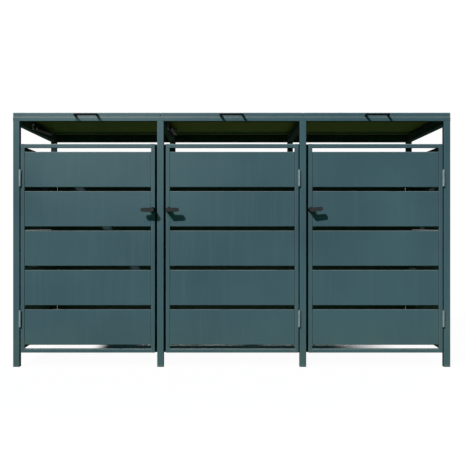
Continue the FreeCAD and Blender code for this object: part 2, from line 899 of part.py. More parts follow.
def make_handle(name):
    """A bow handle, its feet on the lid's fascia, centred on the origin."""
    body = make_body(name)
    sketch = make_sketch(body, "XY_Plane", -d.handleHeight / 2)
    half = d.handleWidth / 2
    leg = half - d.handleLeg
    inner = d.handleBar - d.handleReach
    outline = [
        (-half, 0, 0),
        (-half, -d.handleReach, d.handleOuterCorner),
        (half, -d.handleReach, d.handleOuterCorner),
        (half, 0, 0),
        (leg, 0, 0),
        (leg, inner, d.handleInnerCorner),
        (-leg, inner, d.handleInnerCorner),
        (-leg, 0, 0),
    ]
    draw_outline(sketch, outline)
    pad(body, sketch, d.handleHeight)
    half_height = d.handleHeight / 2
    is_face = level_with("z", half_height, -half_height)
    on_fascia = level_with("y", 0)
    round_edges(body, d.handleEdge, lambda edge: is_face(edge) and not on_fascia(edge))
    return body


def make_brace(name, length):
    """A hat-section brace under the lid's sheet, along X, its top at the origin."""
    body = make_body(name)
    sketch = make_sketch(body, "YZ_Plane")
    half = d.braceCrown / 2
    edge = half + d.braceFlange
    line = [
        (edge, -d.braceSheet),
        (half, -d.braceSheet),
        (half, -d.braceHeight),
        (-half, -d.braceHeight),
        (-half, -d.braceSheet),
        (-edge, -d.braceSheet),
    ]
    draw_outline(sketch, hat_outline(line))
    pad(body, sketch, length)
    return body


def hat_outline(line):
    """The brace's outline: its lower line and the upper one a sheet above and within it."""
    (edge, flange), (half, _), (_, crown) = line[:3]
    inner = half - d.braceSheet
    top = flange + d.braceSheet
    floor = crown + d.braceSheet
    upper = [(-edge, top), (-inner, top), (-inner, floor), (inner, floor), (inner, top), (edge, top)]
    return [(x, z, 0) for x, z in line + upper]


def make_lid_bracket(name):
    """The strut's plate on the lid: an angle whose flange lies under the sheet."""
    body = make_body(name)
    sketch = make_sketch(body, "XZ_Plane", -d.bracketWidth / 2)
    high = d.strutLidDrop + d.lidRise / 2 + d.lidDepth - d.lidSheet
    low = -(d.strutEye + d.bracketPlay)
    inner = d.strutEyeWidth / 2 + d.bracketPlay
    flange = inner + d.strutSide
    outline = [
        (inner, low, 0),
        (inner + d.bracketSheet, low, 0),
        (inner + d.bracketSheet, high - d.bracketSheet, 0),
        (flange, high - d.bracketSheet, 0),
        (flange, high, 0),
        (inner, high, 0),
    ]
    draw_outline(sketch, outline)
    pad(body, sketch, d.bracketWidth)
    bottom = low.value

    def is_lower_corner(edge):
        box = edge.BoundBox
        return box.ZMax < bottom + TOUCH and box.YLength < TOUCH

    round_edges(body, d.bracketCorner, is_lower_corner)
    return body


def make_lids():
    for bay in range(BAYS):
        number = bay + 1
        left = p.lidLeft[bay]
        width = p.lidRight[bay] - left
        center = left + width / 2
        node(put(make_lid_panel(f"lid_panel_{number}", width), left, p.front, p.lidBottom))
        handle_z = d.overallHeight - d.handleDrop
        node(put(make_handle(f"lid_handle_{number}"), center, p.front, handle_z))
        under = d.overallHeight - d.lidSheet
        inset = d.lidSheet + d.lidBend
        braces = []
        for row in range(2):
            brace = make_brace(f"lid_brace_{number}_{row + 1}", width - 2 * inset)
            y = p.lidAxisY - d.braceForward - d.bracePitch * row
            braces.append(put(brace, left + inset, y, under))
        bracket = make_lid_bracket(f"lid_bracket_{number}")
        y = p.lidAxisY - d.strutLidForward
        braces.append(put(bracket, p.strutX[bay], y, p.lidAxisZ - d.strutLidDrop))
        node(gather(f"lid_braces_{number}", braces))


def make_buffers():
    body = make_body("lid_buffer")
    sketch = make_sketch(body, "XY_Plane")
    half = d.bufferWidth / 2
    draw_outline(sketch, rectangle(-half, 0, half, d.bufferDepth, d.bufferPlay))
    pad(body, sketch, d.lidRise - d.bufferPlay)
    places = []
    for bay in range(BAYS):
        center = (p.lidLeft[bay] + p.lidRight[bay]) / 2
        for side in (-1, 1):
            x = center + side * d.bufferSpread / 2
            places.append((x, p.front + d.slatRecess, p.railTop))
    node(repeat("lid_buffers", body, places))


def make_strut_brackets():
    """Plates on the rails, each with the stud that carries a strut's lower eye."""
    body = make_body("strut_bracket")
    plate = make_sketch(body, "YZ_Plane", -d.strutSide)
    half = d.bracketWidth / 2
    low = -d.strutEye / 2
    high = d.strutDrop - d.bracketSheet
    draw_outline(plate, rectangle(-half, low, half, high, d.leafCorner))
    pad(body, plate, d.bracketSheet)
    eye_side = d.strutEyeWidth / 2 + d.bracketPlay
    shoulder = make_sketch(body, "YZ_Plane", -d.strutSide)
    draw_circle(shoulder, 0, 0, d.strutStud + 2 * d.pinPlay + d.bracketSheet / 2)
    pad(body, shoulder, d.strutSide - eye_side)
    stud = make_sketch(body, "YZ_Plane", -d.strutSide)
    draw_circle(stud, 0, 0, d.strutStud)
    pad(body, stud, d.strutSide + eye_side + d.bracketSheet)
    head = make_sketch(body, "YZ_Plane", eye_side)
    draw_circle(head, 0, 0, d.strutStud + d.bracketSheet / 2)
    pad(body, head, d.bracketSheet)
    places = [(x, p.strutY, p.strutZ) for x in p.strutX]
    node(repeat("strut_brackets", body, places))


def add_eye(body, height):
    """A flat round eye across the strut's axis at a height along it."""
    half = d.strutEyeWidth / 2
    eye = make_sketch(body, "YZ_Plane", -half)
    draw_circle(eye, 0, height, d.strutEye)
    pad(body, eye, d.strutEyeWidth)


def make_cylinder(name):
    """The strut's cylinder, from its lower eye at the origin up the Z axis."""
    body = make_body(name)
    sketch = make_sketch(body, "XZ_Plane")
    bore = d.cylinderRadius - d.cylinderWall
    gland = d.rodRadius + d.pinPlay
    floor = d.strutEye + d.cylinderCap / 2
    neck = d.strutEye - d.cylinderCap / 4
    profile = [
        (0, neck, 0),
        (d.rodRadius, neck, 0),
        (d.cylinderRadius, d.cylinderCap, 0),
        (d.cylinderRadius, p.cylinderLength, d.cylinderWall),
        (gland, p.cylinderLength, 0),
        (gland, p.cylinderLength - d.glandLength, 0),
        (bore, p.cylinderLength - d.glandLength, 0),
        (bore, floor + d.cylinderWall, 0),
        (0, floor + d.cylinderWall, 0),
    ]
    draw_outline(sketch, profile)
    revolve(body, sketch)
    add_eye(body, 0)
    hole = make_sketch(body, "YZ_Plane")
    draw_circle(hole, 0, 0, d.strutStud + d.pinPlay)
    cut_hole(body, hole)
    return body


def make_rod(name):
    """The strut's rod with its piston, and the eye that meets the lid's plate."""
    body = make_body(name)
    sketch = make_sketch(body, "XZ_Plane")
    end = p.strutLength
    foot = d.strutEye + d.cylinderCap / 2 + d.cylinderWall + d.pistonRest
    piston = d.cylinderRadius - d.cylinderWall - d.pistonPlay
    profile = [
        (0, foot, 0),
        (piston, foot, 0),
        (piston, foot + d.pistonLength, 0),
        (d.rodRadius, foot + d.pistonLength, 0),
        (d.rodRadius, end, 0),
        (0, end, 0),
    ]
    draw_outline(sketch, profile)
    revolve(body, sketch)
    add_eye(body, end)
    return body


def make_struts():
    for bay in range(BAYS):
        number = bay + 1
        place = (p.strutX[bay], p.strutY, p.strutZ, p.strutTurn)
        node(put(make_cylinder(f"strut_cylinder_{number}"), *place))
        node(put(make_rod(f"strut_rod_{number}"), *place))


def check_document():
    doc.recompute()
    faults = []
    for item in doc.Objects:
        if "Invalid" in item.State or "Error" in item.State:
            faults.append(f"{item.Label}: {item.State}")
    for piece in nodes:
        shape = piece.Shape
        if shape.isNull() or not shape.isValid() or not shape.Solids:
            faults.append(f"{piece.Label}: bad shape")
    if faults:
        raise RuntimeError("\n".join(faults))


def export_parts():
    os.makedirs("parts", exist_ok=True)
    for piece in nodes:
        piece.Shape.exportStep(f"parts/{piece.Label}.step")
        box = piece.Shape.BoundBox
        low = f"{box.XMin:.1f} {box.YMin:.1f} {box.ZMin:.1f}"
        high = f"{box.XMax:.1f} {box.YMax:.1f} {box.ZMax:.1f}"
        print(f"{piece.Label}: {len(piece.Shape.Solids)} solids, {low} to {high}")


make_posts()
make_top_rails()
make_end_plugs()
make_side_walls()
make_rear_panels()
make_doors()
make_hinges()
make_lids()
make_buffers()
make_strut_brackets()
make_struts()
check_document()
export_parts()
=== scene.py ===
import json
import math

import bpy
import numpy as np
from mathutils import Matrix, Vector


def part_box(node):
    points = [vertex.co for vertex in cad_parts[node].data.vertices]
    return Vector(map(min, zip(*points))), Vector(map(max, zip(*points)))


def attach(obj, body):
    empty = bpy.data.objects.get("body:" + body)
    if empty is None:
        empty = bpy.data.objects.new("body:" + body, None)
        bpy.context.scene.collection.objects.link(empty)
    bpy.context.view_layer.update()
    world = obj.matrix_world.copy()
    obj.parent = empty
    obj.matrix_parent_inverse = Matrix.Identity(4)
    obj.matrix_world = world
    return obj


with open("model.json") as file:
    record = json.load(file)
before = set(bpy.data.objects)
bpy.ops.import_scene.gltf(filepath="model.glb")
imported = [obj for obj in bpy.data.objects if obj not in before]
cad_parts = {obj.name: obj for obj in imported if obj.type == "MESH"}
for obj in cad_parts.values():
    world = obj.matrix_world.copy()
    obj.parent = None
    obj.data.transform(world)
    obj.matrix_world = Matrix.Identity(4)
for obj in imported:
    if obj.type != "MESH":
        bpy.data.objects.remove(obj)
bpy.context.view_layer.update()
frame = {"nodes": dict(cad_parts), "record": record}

nodes = frame["nodes"]
joints = {joint["name"]: joint for joint in frame["record"]["behaviour"]["joints"]}
bays = (1, 2, 3)
print("frame loaded:", len(nodes), "nodes")


def linearColor(hexText):
    # sRGB hex to linear light, each channel by the sRGB curve
    channels = [int(hexText[i:i + 2], 16) / 255 for i in (1, 3, 5)]
    linear = [c / 12.92 if c <= 0.04045 else ((c + 0.055) / 1.055) ** 2.4 for c in channels]
    return (*linear, 1.0)


def addNode(tree, kind, inputs=None, **settings):
    # one node, its settings, then its inputs: a socket is linked and anything else is a value
    node = tree.nodes.new(kind)
    for name, value in settings.items():
        setattr(node, name, value)
    for name, value in (inputs or {}).items():
        if isinstance(value, bpy.types.NodeSocket):
            tree.links.new(value, node.inputs[name])
        else:
            node.inputs[name].default_value = value
    return node


def newMaterial(name):
    # a material with its node tree and its shader
    material = bpy.data.materials.new(name)
    material.use_nodes = True
    tree = material.node_tree
    return material, tree, tree.nodes["Principled BSDF"]


def objectPlace(tree):
    return addNode(tree, "ShaderNodeTexCoord").outputs["Object"]


def noiseAt(tree, place, sizeMm, detail=2.0, roughness=0.5):
    # noise whose patches are about sizeMm wide
    inputs = {"Vector": place, "Scale": 1000 / sizeMm, "Detail": detail, "Roughness": roughness}
    return addNode(tree, "ShaderNodeTexNoise", inputs).outputs["Fac"]


def mapTo(tree, value, fromLow, fromHigh, toLow=0.0, toHigh=1.0, smooth=False):
    # carries fromLow to toLow and fromHigh to toHigh, and holds these beyond them
    inputs = {"Value": value, "From Min": fromLow, "From Max": fromHigh, "To Min": toLow, "To Max": toHigh}
    kind = "SMOOTHSTEP" if smooth else "LINEAR"
    return addNode(tree, "ShaderNodeMapRange", inputs, interpolation_type=kind).outputs["Result"]


def calculate(tree, operation, first, second=0.0, clamp=False):
    inputs = {0: first, 1: second}
    return addNode(tree, "ShaderNodeMath", inputs, operation=operation, use_clamp=clamp).outputs[0]


def multiply(tree, first, second):
    return calculate(tree, "MULTIPLY", first, second)


def blendColors(tree, share, first, second):
    return addNode(tree, "ShaderNodeMix", {0: share, 6: first, 7: second}, data_type="RGBA").outputs[2]


def addBump(tree, shader, height, distance, strength):
    inputs = {"Height": height, "Distance": distance, "Strength": strength}
    bump = addNode(tree, "ShaderNodeBump", inputs)
    tree.links.new(bump.outputs["Normal"], shader.inputs["Normal"])


def edgeMask(tree, radius, sharpness):
    # how far the surface turns within radius: 0 on flats, 1 along sharp edges
    bevel = addNode(tree, "ShaderNodeBevel", {"Radius": radius}, samples=4)
    here = addNode(tree, "ShaderNodeNewGeometry").outputs["True Normal"]
    inputs = {0: bevel.outputs["Normal"], 1: here}
    facing = addNode(tree, "ShaderNodeVectorMath", inputs, operation="DOT_PRODUCT").outputs["Value"]
    return mapTo(tree, facing, 1.0, 1.0 - sharpness)


powderCoat = {
    "base": "#425a65",          # anthracite with a blue-green cast
    "roughness": (0.46, 0.60),
    "specular": 0.03,
    "cloud": "#47626b",         # slow change of tone over a baked coat
    "cloudMm": 420,
    "cloudRange": (0.35, 0.65),     # a range is the part of the noise that the pattern is drawn from
    "stainMm": 60,
    "stainRange": (0.45, 0.68),
    "streak": "#4d666d",        # faint runs left by rain, mostly upright
    "streakMm": 26,
    "streakRange": (0.52, 0.75),
    "streakSquash": 0.07,       # draws the streaks out to many times their width
    "streakShare": 0.5,
    "grainMm": 2.4,             # the real grain is near 0.6 mm, drawn coarser so that it shows
    "grainHeight": 0.00012,
    "edge": "#a3b1b4",          # thin, chalked coat along folds and corners, with a painted highlight on those that look up
    "edgeRadius": 0.0036,
    "edgeTurn": 0.22,
    "edgeShare": (0.55, 0.95),
    "chalkAndHighlightTilt": (-0.2, 0.5),   # tilts are upward parts of the normal: -1 looks down, 1 looks up
    "chalkAndHighlightShare": (0.25, 1.0),
    "crestTilt": (0.10, 0.35),  # painted highlight on bends that look up, but not on the level sheet beside them
    "levelTilt": (0.96, 0.85),
    "crestShare": 0.85,
    "dustAndLawnTint": "#5b6850",          # dry soil, splashed up from the ground and settled on top; low down it also stands in for green light bounced up from the lawn
    "splashHeight": 0.30,
    "splashShare": 0.32,
    "splashPatch": (0.40, 1.0),
    "settledTilt": (0.75, 1.0),
    "settledShare": 0.30,
    "downTilt": (-0.55, -0.85),
    "inside": "#5b664c",        # olive tint painted under the lids for the grass light thrown up there
    "insideTintMottle": "#646a4f",
    "insideShadeFade": (-0.27, 0.03),    # from front to back, where the painted shade under the lids fades out
    "insideShadeShare": 0.70,
    "paintedShade": "#13171a",         # near-black painted shade on the faces indoors and under the lids' fronts
    "paintedShadeShare": (0.64, 0.78),
    # the store's middle and half width on each axis, and how sharply indoors ends there
    "shell": {"X": (0.0, 0.9985), "Y": (0.0165, 0.3995), "Z": (0.0, 1.170)},
    "shellFade": 0.001,
    # this far from the middle, a face that looks away from it is the outside of a wall
    "outward": {"X": (0.974, 0.980), "Y": (0.392, 0.396), "Z": (1.141, 1.144)},
}


def flatNormal(tree):
    # the face's own normal in the piece's frame, so that it turns with a door or a lid
    normal = addNode(tree, "ShaderNodeNewGeometry").outputs["True Normal"]
    settings = {"vector_type": "NORMAL", "convert_from": "WORLD", "convert_to": "OBJECT"}
    return addNode(tree, "ShaderNodeVectorTransform", {"Vector": normal}, **settings).outputs[0]


def indoorsMask(tree, spot, normal, finish):
    # 1 within the store's shell, 0 outside it and on the faces of its walls that look out
    indoors = 1.0
    for axis, (middle, half) in finish["shell"].items():
        away = calculate(tree, "SUBTRACT", spot[axis], middle)
        distance = calculate(tree, "ABSOLUTE", away)
        indoors = multiply(tree, indoors, mapTo(tree, distance, half, half - finish["shellFade"]))
        facing = mapTo(tree, multiply(tree, away, normal[axis]), *finish["outward"][axis], 1.0, 0.0)
        indoors = multiply(tree, indoors, facing)
    return indoors


def makePowderCoat(name, finish, inside=False):
    # satin polyester powder coat on steel, sprayed and baked: even, finely pebbled and slightly chalked, with
    # painted highlights on upward edges, painted shade indoors and a painted olive tint under the lids
    material, tree, shader = newMaterial(name)
    place = objectPlace(tree)
    cloud = mapTo(tree, noiseAt(tree, place, finish["cloudMm"], 3.0), *finish["cloudRange"])
    stain = mapTo(tree, noiseAt(tree, place, finish["stainMm"], 5.0, 0.62), *finish["stainRange"])
    squash = (1.0, 1.0, finish["streakSquash"])
    drawnOut = addNode(tree, "ShaderNodeMapping", {"Vector": place, "Scale": squash}).outputs[0]
    runs = noiseAt(tree, drawnOut, finish["streakMm"], 3.0, 0.6)
    streak = mapTo(tree, runs, *finish["streakRange"], 0.0, finish["streakShare"])
    grain = noiseAt(tree, place, finish["grainMm"], 1.5)
    color = blendColors(tree, cloud, linearColor(finish["base"]), linearColor(finish["cloud"]))
    color = blendColors(tree, streak, color, linearColor(finish["streak"]))

    # soil splashed up from the ground, which low down also stands in for green light bounced from the lawn, and
    # dust that settles on level faces
    spot = addNode(tree, "ShaderNodeSeparateXYZ", {"Vector": place}).outputs
    splashAndLawnTint = mapTo(tree, spot["Z"], finish["splashHeight"], 0.0, 0.0, finish["splashShare"], smooth=True)
    splashAndLawnTint = multiply(tree, splashAndLawnTint, mapTo(tree, stain, 0.0, 1.0, *finish["splashPatch"]))
    color = blendColors(tree, splashAndLawnTint, color, linearColor(finish["dustAndLawnTint"]))
    smoothNormal = addNode(tree, "ShaderNodeTexCoord").outputs["Normal"]
    upward = addNode(tree, "ShaderNodeSeparateXYZ", {"Vector": smoothNormal}).outputs["Z"]
    settled = mapTo(tree, upward, *finish["settledTilt"], 0.0, finish["settledShare"])
    color = blendColors(tree, multiply(tree, settled, stain), color, linearColor(finish["dustAndLawnTint"]))

    # edges are chalked lighter, and those that look up are lighter still as a painted highlight
    upwardChalkAndHighlight = mapTo(tree, upward, *finish["chalkAndHighlightTilt"], *finish["chalkAndHighlightShare"])
    turned = edgeMask(tree, finish["edgeRadius"], finish["edgeTurn"])
    edge = multiply(tree, turned, mapTo(tree, stain, 0.0, 1.0, *finish["edgeShare"]))
    color = blendColors(tree, multiply(tree, edge, upwardChalkAndHighlight), color, linearColor(finish["edge"]))
    # a painted highlight along bends that look up, where light from above catches the fold
    level = mapTo(tree, upward, *finish["levelTilt"], 0.0, finish["crestShare"])
    paintedCrestHighlight = multiply(tree, mapTo(tree, upward, *finish["crestTilt"]), level)
    color = blendColors(tree, paintedCrestHighlight, color, linearColor(finish["edge"]))

    # indoors and on downward faces the coat is never rinsed and stays dull
    rough = mapTo(tree, multiply(tree, stain, cloud), 0.0, 0.8, *finish["roughness"])
    facing = addNode(tree, "ShaderNodeSeparateXYZ", {"Vector": flatNormal(tree)}).outputs
    indoors = indoorsMask(tree, spot, facing, finish)
    downward = mapTo(tree, upward, *finish["downTilt"])
    rough = calculate(tree, "MAXIMUM", rough, calculate(tree, "MAXIMUM", downward, indoors))
    if inside:
        # an olive tint painted on the undersides for the grass light bounced up under the lids
        tone = blendColors(tree, stain, linearColor(finish["inside"]), linearColor(finish["insideTintMottle"]))
        # painted shade darkens the undersides towards the front, where less light reaches
        frontShade = mapTo(tree, spot["Y"], *finish["insideShadeFade"], finish["insideShadeShare"], 0.0, smooth=True)
        tone = blendColors(tree, frontShade, tone, linearColor(finish["paintedShade"]))
        color = blendColors(tree, multiply(tree, downward, indoors), color, tone)
    else:
        # painted shade: faces indoors are darkened towards near black, where the store's shade falls
        paintedShade = multiply(tree, indoors, mapTo(tree, stain, 0.0, 1.0, *finish["paintedShadeShare"]))
        color = blendColors(tree, paintedShade, color, linearColor(finish["paintedShade"]))

    tree.links.new(color, shader.inputs["Base Color"])
    tree.links.new(rough, shader.inputs["Roughness"])
    addBump(tree, shader, grain, finish["grainHeight"], 1.0)
    shader.inputs["Specular IOR Level"].default_value = finish["specular"]
    return material


zincPlate = {
    "base": "#8d999b",
    "dull": "#6b7576",          # white rust and handling marks
    "spangleMm": 5,
    "spangleShare": 0.35,
    "stainMm": 18,
    "stainRange": (0.4, 0.65),
    "stainShare": 0.5,
    "grainMm": 0.9,
    "grainHeight": 0.00003,
    "roughness": (0.38, 0.58),
    "metallic": 0.45,
    "specular": 0.2,
}


def makeZinc(name, finish):
    # zinc-plated pressed steel: dull grey metal with a faint spangle and darker stains
    material, tree, shader = newMaterial(name)
    place = objectPlace(tree)
    inputs = {"Vector": place, "Scale": 1000 / finish["spangleMm"]}
    cells = addNode(tree, "ShaderNodeTexVoronoi", inputs).outputs["Color"]
    tone = addNode(tree, "ShaderNodeSeparateColor", {"Color": cells}).outputs["Red"]
    stain = mapTo(tree, noiseAt(tree, place, finish["stainMm"], 4.0), *finish["stainRange"])
    spangled, stained = multiply(tree, tone, finish["spangleShare"]), multiply(tree, stain, finish["stainShare"])
    share = calculate(tree, "ADD", spangled, stained)
    color = blendColors(tree, share, linearColor(finish["base"]), linearColor(finish["dull"]))
    tree.links.new(color, shader.inputs["Base Color"])
    tree.links.new(mapTo(tree, stain, 0.0, 1.0, *finish["roughness"]), shader.inputs["Roughness"])
    addBump(tree, shader, noiseAt(tree, place, finish["grainMm"]), finish["grainHeight"], 0.6)
    shader.inputs["Metallic"].default_value = finish["metallic"]
    shader.inputs["Specular IOR Level"].default_value = finish["specular"]
    return material


blackPlastic = {"base": "#080b0d", "worn": "#12171a", "grainMm": 1.1, "roughness": (0.6, 0.72), "specular": 0.05}
leverPlastic = {"base": "#252829", "worn": "#3a3d3d", "grainMm": 1.1, "roughness": (0.5, 0.65), "specular": 0.12}
bufferRubber = {"base": "#0c0d0d", "worn": "#1b1c1c", "grainMm": 1.6, "roughness": (0.7, 0.85), "specular": 0.2}
mouldedWear = {"patchMm": 12, "patchRange": (0.35, 0.7), "patchShare": 0.3, "edgeRadius": 0.0018,
               "edgeTurn": 0.3, "edgeShare": 0.6, "grainHeight": 0.00006}


def makeMoulded(name, finish):
    # moulded part with a spark-eroded grain, rubbed lighter along its edges
    material, tree, shader = newMaterial(name)
    place = objectPlace(tree)
    patch = mapTo(tree, noiseAt(tree, place, mouldedWear["patchMm"], 3.0), *mouldedWear["patchRange"])
    turned = edgeMask(tree, mouldedWear["edgeRadius"], mouldedWear["edgeTurn"])
    worn = multiply(tree, turned, mouldedWear["edgeShare"])
    base, rubbed = linearColor(finish["base"]), linearColor(finish["worn"])
    color = blendColors(tree, multiply(tree, patch, mouldedWear["patchShare"]), base, rubbed)
    color = blendColors(tree, worn, color, rubbed)
    tree.links.new(color, shader.inputs["Base Color"])
    tree.links.new(mapTo(tree, patch, 0.0, 1.0, *finish["roughness"]), shader.inputs["Roughness"])
    addBump(tree, shader, noiseAt(tree, place, finish["grainMm"]), mouldedWear["grainHeight"], 0.8)
    shader.inputs["Specular IOR Level"].default_value = finish["specular"]
    return material


strutEnamel = {"base": "#0a0b0c", "thin": "#121315", "filmMm": 30, "filmRange": (0.3, 0.7), "peelMm": 3,
               "peelHeight": 0.00004, "roughness": (0.55, 0.68), "specular": 0.06}


def makeEnamel(name, finish):
    # black enamel on a drawn steel tube: deep, even, with a slight orange peel
    material, tree, shader = newMaterial(name)
    place = objectPlace(tree)
    film = mapTo(tree, noiseAt(tree, place, finish["filmMm"], 3.0), *finish["filmRange"])
    base, thin = linearColor(finish["base"]), linearColor(finish["thin"])
    tree.links.new(blendColors(tree, film, base, thin), shader.inputs["Base Color"])
    tree.links.new(mapTo(tree, film, 0.0, 1.0, *finish["roughness"]), shader.inputs["Roughness"])
    addBump(tree, shader, noiseAt(tree, place, finish["peelMm"]), finish["peelHeight"], 0.5)
    shader.inputs["Specular IOR Level"].default_value = finish["specular"]
    return material


nitridedSteel = {"base": "#17181a", "groove": "#101113", "ringScale": 160.0, "waver": 0.8,
                 "roughness": (0.38, 0.50), "specular": 0.25}


def makeNitrided(name, finish):
    # ground and nitrided rod: black steel with faint rings left by the grinding wheel
    material, tree, shader = newMaterial(name)
    inputs = {"Vector": objectPlace(tree), "Scale": finish["ringScale"], "Distortion": finish["waver"]}
    rings = addNode(tree, "ShaderNodeTexWave", inputs, bands_direction="Y").outputs["Fac"]
    color = blendColors(tree, rings, linearColor(finish["base"]), linearColor(finish["groove"]))
    tree.links.new(color, shader.inputs["Base Color"])
    tree.links.new(mapTo(tree, rings, 0.0, 1.0, *finish["roughness"]), shader.inputs["Roughness"])
    shader.inputs["Specular IOR Level"].default_value = finish["specular"]
    return material


materials = {
    "powder_coat": makePowderCoat("powderCoatAnthracite", powderCoat),
    "lid_coat": makePowderCoat("powderCoatLid", powderCoat, inside=True),
    "zinc_steel": makeZinc("zincPlatedSteel", zincPlate),
    "black_plastic": makeMoulded("blackNylon", blackPlastic),
    "lever_plastic": makeMoulded("brownBlackNylon", leverPlastic),
    "rubber": makeMoulded("bufferRubber", bufferRubber),
    "strut_paint": makeEnamel("blackEnamel", strutEnamel),
    "strut_rod_steel": makeNitrided("nitridedSteel", nitridedSteel),
}


def dress(piece, material):
    piece.data.materials.clear()
    piece.data.materials.append(material)


slotOfNode = {part["node"]: part["material_slot"] for part in frame["record"]["subparts"]}
for nodeName, cadNode in nodes.items():
    finishName = "lid_coat" if nodeName.startswith(("lid_panel", "lid_braces")) else slotOfNode[nodeName]
    dress(cadNode, materials[finishName])
print("materials made:", len(materials))


def boxOf(name):
    # lowest and highest corner of a CAD node
    low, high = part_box(name)
    return np.array(low), np.array(high)


def gridFaces(rows, columns):
    # quads between neighbouring rings, the last column joined to the first
    row = np.arange(rows - 1)[:, None] * columns
    column = np.arange(columns)[None, :]
    after = (column + 1) % columns
    corners = [row + column, row + after, row + columns + after, row + columns + column]
    return np.stack(corners, axis=-1).reshape(-1, 4)


def axesFor(direction):
    # two unit vectors square to the direction, right-handed with it
    direction = np.asarray(direction, float)
    direction = direction / np.linalg.norm(direction)
    helper = np.array([0.0, 0.0, 1.0]) if abs(direction[2]) < 0.9 else np.array([1.0, 0.0, 0.0])
    first = np.cross(helper, direction)
    first /= np.linalg.norm(first)
    return first, np.cross(direction, first), direction


def turnedShape(profile, sides, place, direction, hexed=0):
    # a profile of (radius, height) swept round an axis; the first rings become a hexagon when hexed
    profile = np.asarray(profile, float)
    angle = np.arange(sides) * 2 * math.pi / sides
    sector = math.pi / 3
    hexRadius = math.cos(sector / 2) / np.cos(angle % sector - sector / 2)
    shape = np.where(np.arange(len(profile))[:, None] < hexed, hexRadius[None, :], 1.0)
    radius = profile[:, :1] * shape
    first, second, third = axesFor(direction)
    verts = (radius * np.cos(angle))[..., None] * first + (radius * np.sin(angle))[..., None] * second
    verts = verts + profile[:, 1][:, None, None] * third + np.asarray(place, float)
    return verts.reshape(-1, 3), gridFaces(len(profile), sides)


def meshPiece(name, shapes, body, slotName):
    # joins shapes, each its vertices and faces, into one piece that rides on a body
    verts, faces, start = [], [], 0
    for shapeVerts, shapeFaces in shapes:
        verts.append(shapeVerts)
        faces.append(shapeFaces + start)
        start += len(shapeVerts)
    mesh = bpy.data.meshes.new(name)
    mesh.from_pydata(np.concatenate(verts).tolist(), [], np.concatenate(faces).tolist())
    mesh.shade_smooth()
    piece = bpy.data.objects.new(name, mesh)
    bpy.context.scene.collection.objects.link(piece)
    dress(piece, materials[slotName])
    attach(piece, body)


closedTip = 1e-5                # radius that closes a turned profile at its axis
seated = 0.0002                 # how far a head's rim runs into what it sits on
panScrew = {"radius": 0.0036, "height": 0.0018, "socket": 0.0016, "socketDepth": 0.0011, "flare": 1.04,
            "lip": 0.93, "crownStart": 0.52, "crownSteps": 6, "sides": 24}


def screwHead(place, direction, size=1.0):
    # a low dome with a six-sided socket: heights follow a quarter ellipse from rim to crown
    r, h = panScrew["radius"] * size, panScrew["height"] * size
    s, depth = panScrew["socket"] * size, panScrew["socketDepth"] * size
    socket = [(closedTip, h - depth), (s, h - depth), (s * panScrew["flare"], h * panScrew["lip"])]
    turns = np.linspace(panScrew["crownStart"], math.pi / 2, panScrew["crownSteps"])
    dome = [(r * math.sin(t), h * math.cos(t)) for t in turns]
    profile = socket + dome + [(r, -seated)]
    return turnedShape(profile, panScrew["sides"], place, direction, hexed=len(socket))


flatScrew = {"radius": 0.0031, "proud": 0.00018, "socket": 0.0014, "floor": 0.00002, "flare": 1.05, "sides": 24}


def flatHead(place, direction):
    # a countersunk head that stands a hair proud of its leaf, with a six-sided socket
    r, proud, s, floor = (flatScrew[key] for key in ("radius", "proud", "socket", "floor"))
    socket = [(closedTip, floor), (s, floor), (s * flatScrew["flare"], proud)]
    profile = socket + [(r - proud, proud), (r, 0.0)]
    return turnedShape(profile, flatScrew["sides"], place, direction, hexed=len(socket))


blindRivet = {"radius": 0.0032, "height": 0.0013, "mandrel": 0.0010, "dimple": 0.62, "neck": 0.9, "lip": 0.9,
              "crownStart": 0.45, "crownSteps": 5, "sides": 20}


def rivetHead(place, direction):
    # a shallow dome with the mandrel's dimple at its middle
    r, h, m = blindRivet["radius"], blindRivet["height"], blindRivet["mandrel"]
    bottom = h * blindRivet["dimple"]
    dimple = [(closedTip, bottom), (m * blindRivet["neck"], bottom), (m, h * blindRivet["lip"])]
    turns = np.linspace(blindRivet["crownStart"], math.pi / 2, blindRivet["crownSteps"])
    dome = [(r * math.sin(t), h * math.cos(t)) for t in turns]
    return turnedShape(dimple + dome + [(r, -seated)], blindRivet["sides"], place, direction)


hexNut = {"radius": 0.0072, "height": 0.0048, "bore": 0.0040, "chamfer": 0.0007, "sides": 48}


def nutShape(place, direction):
    # a hexagonal nut with chamfered corners, closed over the spindle's end
    r, h, b, c = (hexNut[key] for key in ("radius", "height", "bore", "chamfer"))
    profile = [(closedTip, h - c), (b, h - c), (b, h), (r - c, h), (r, h - c), (r, 0.0)]
    return turnedShape(profile, hexNut["sides"], place, direction, hexed=len(profile))


weldBead = {
    "radius": 0.0015,
    "rippleMm": 2.6,
    "ripple": 0.16,
    "samples": 3,               # rings for each ripple
    "fewest": 6,
    "around": 8,
    "bluntness": 14,            # how short the bead's drawn-in ends are
    "tip": 0.02,
    "inset": 0.003,
    "footInset": 0.002,
}


def weldShape(start, end, outward):
    # a bead along a line, its radius rippled like overlapping puddles and drawn in at its ends
    start, end = np.asarray(start, float), np.asarray(end, float)
    along = end - start
    length = np.linalg.norm(along)
    along /= length
    outward = np.asarray(outward, float)
    outward /= np.linalg.norm(outward)
    across = np.cross(along, outward)
    ripples = length * 1000 / weldBead["rippleMm"]
    steps = max(weldBead["fewest"], int(ripples * weldBead["samples"]))
    u = np.linspace(0, 1, steps)
    v = np.arange(weldBead["around"]) * 2 * math.pi / weldBead["around"]
    taper = np.sqrt(np.clip(1 - np.abs(2 * u - 1) ** weldBead["bluntness"], 0, 1))
    wave = 1 + weldBead["ripple"] * np.abs(np.sin(u * ripples * math.pi))
    radius = weldBead["radius"] * wave * np.maximum(taper, weldBead["tip"])
    ring = np.cos(v)[:, None] * outward + np.sin(v)[:, None] * across
    verts = start + u[:, None, None] * length * along + radius[:, None, None] * ring[None]
    return verts.reshape(-1, 3), gridFaces(steps, weldBead["around"])


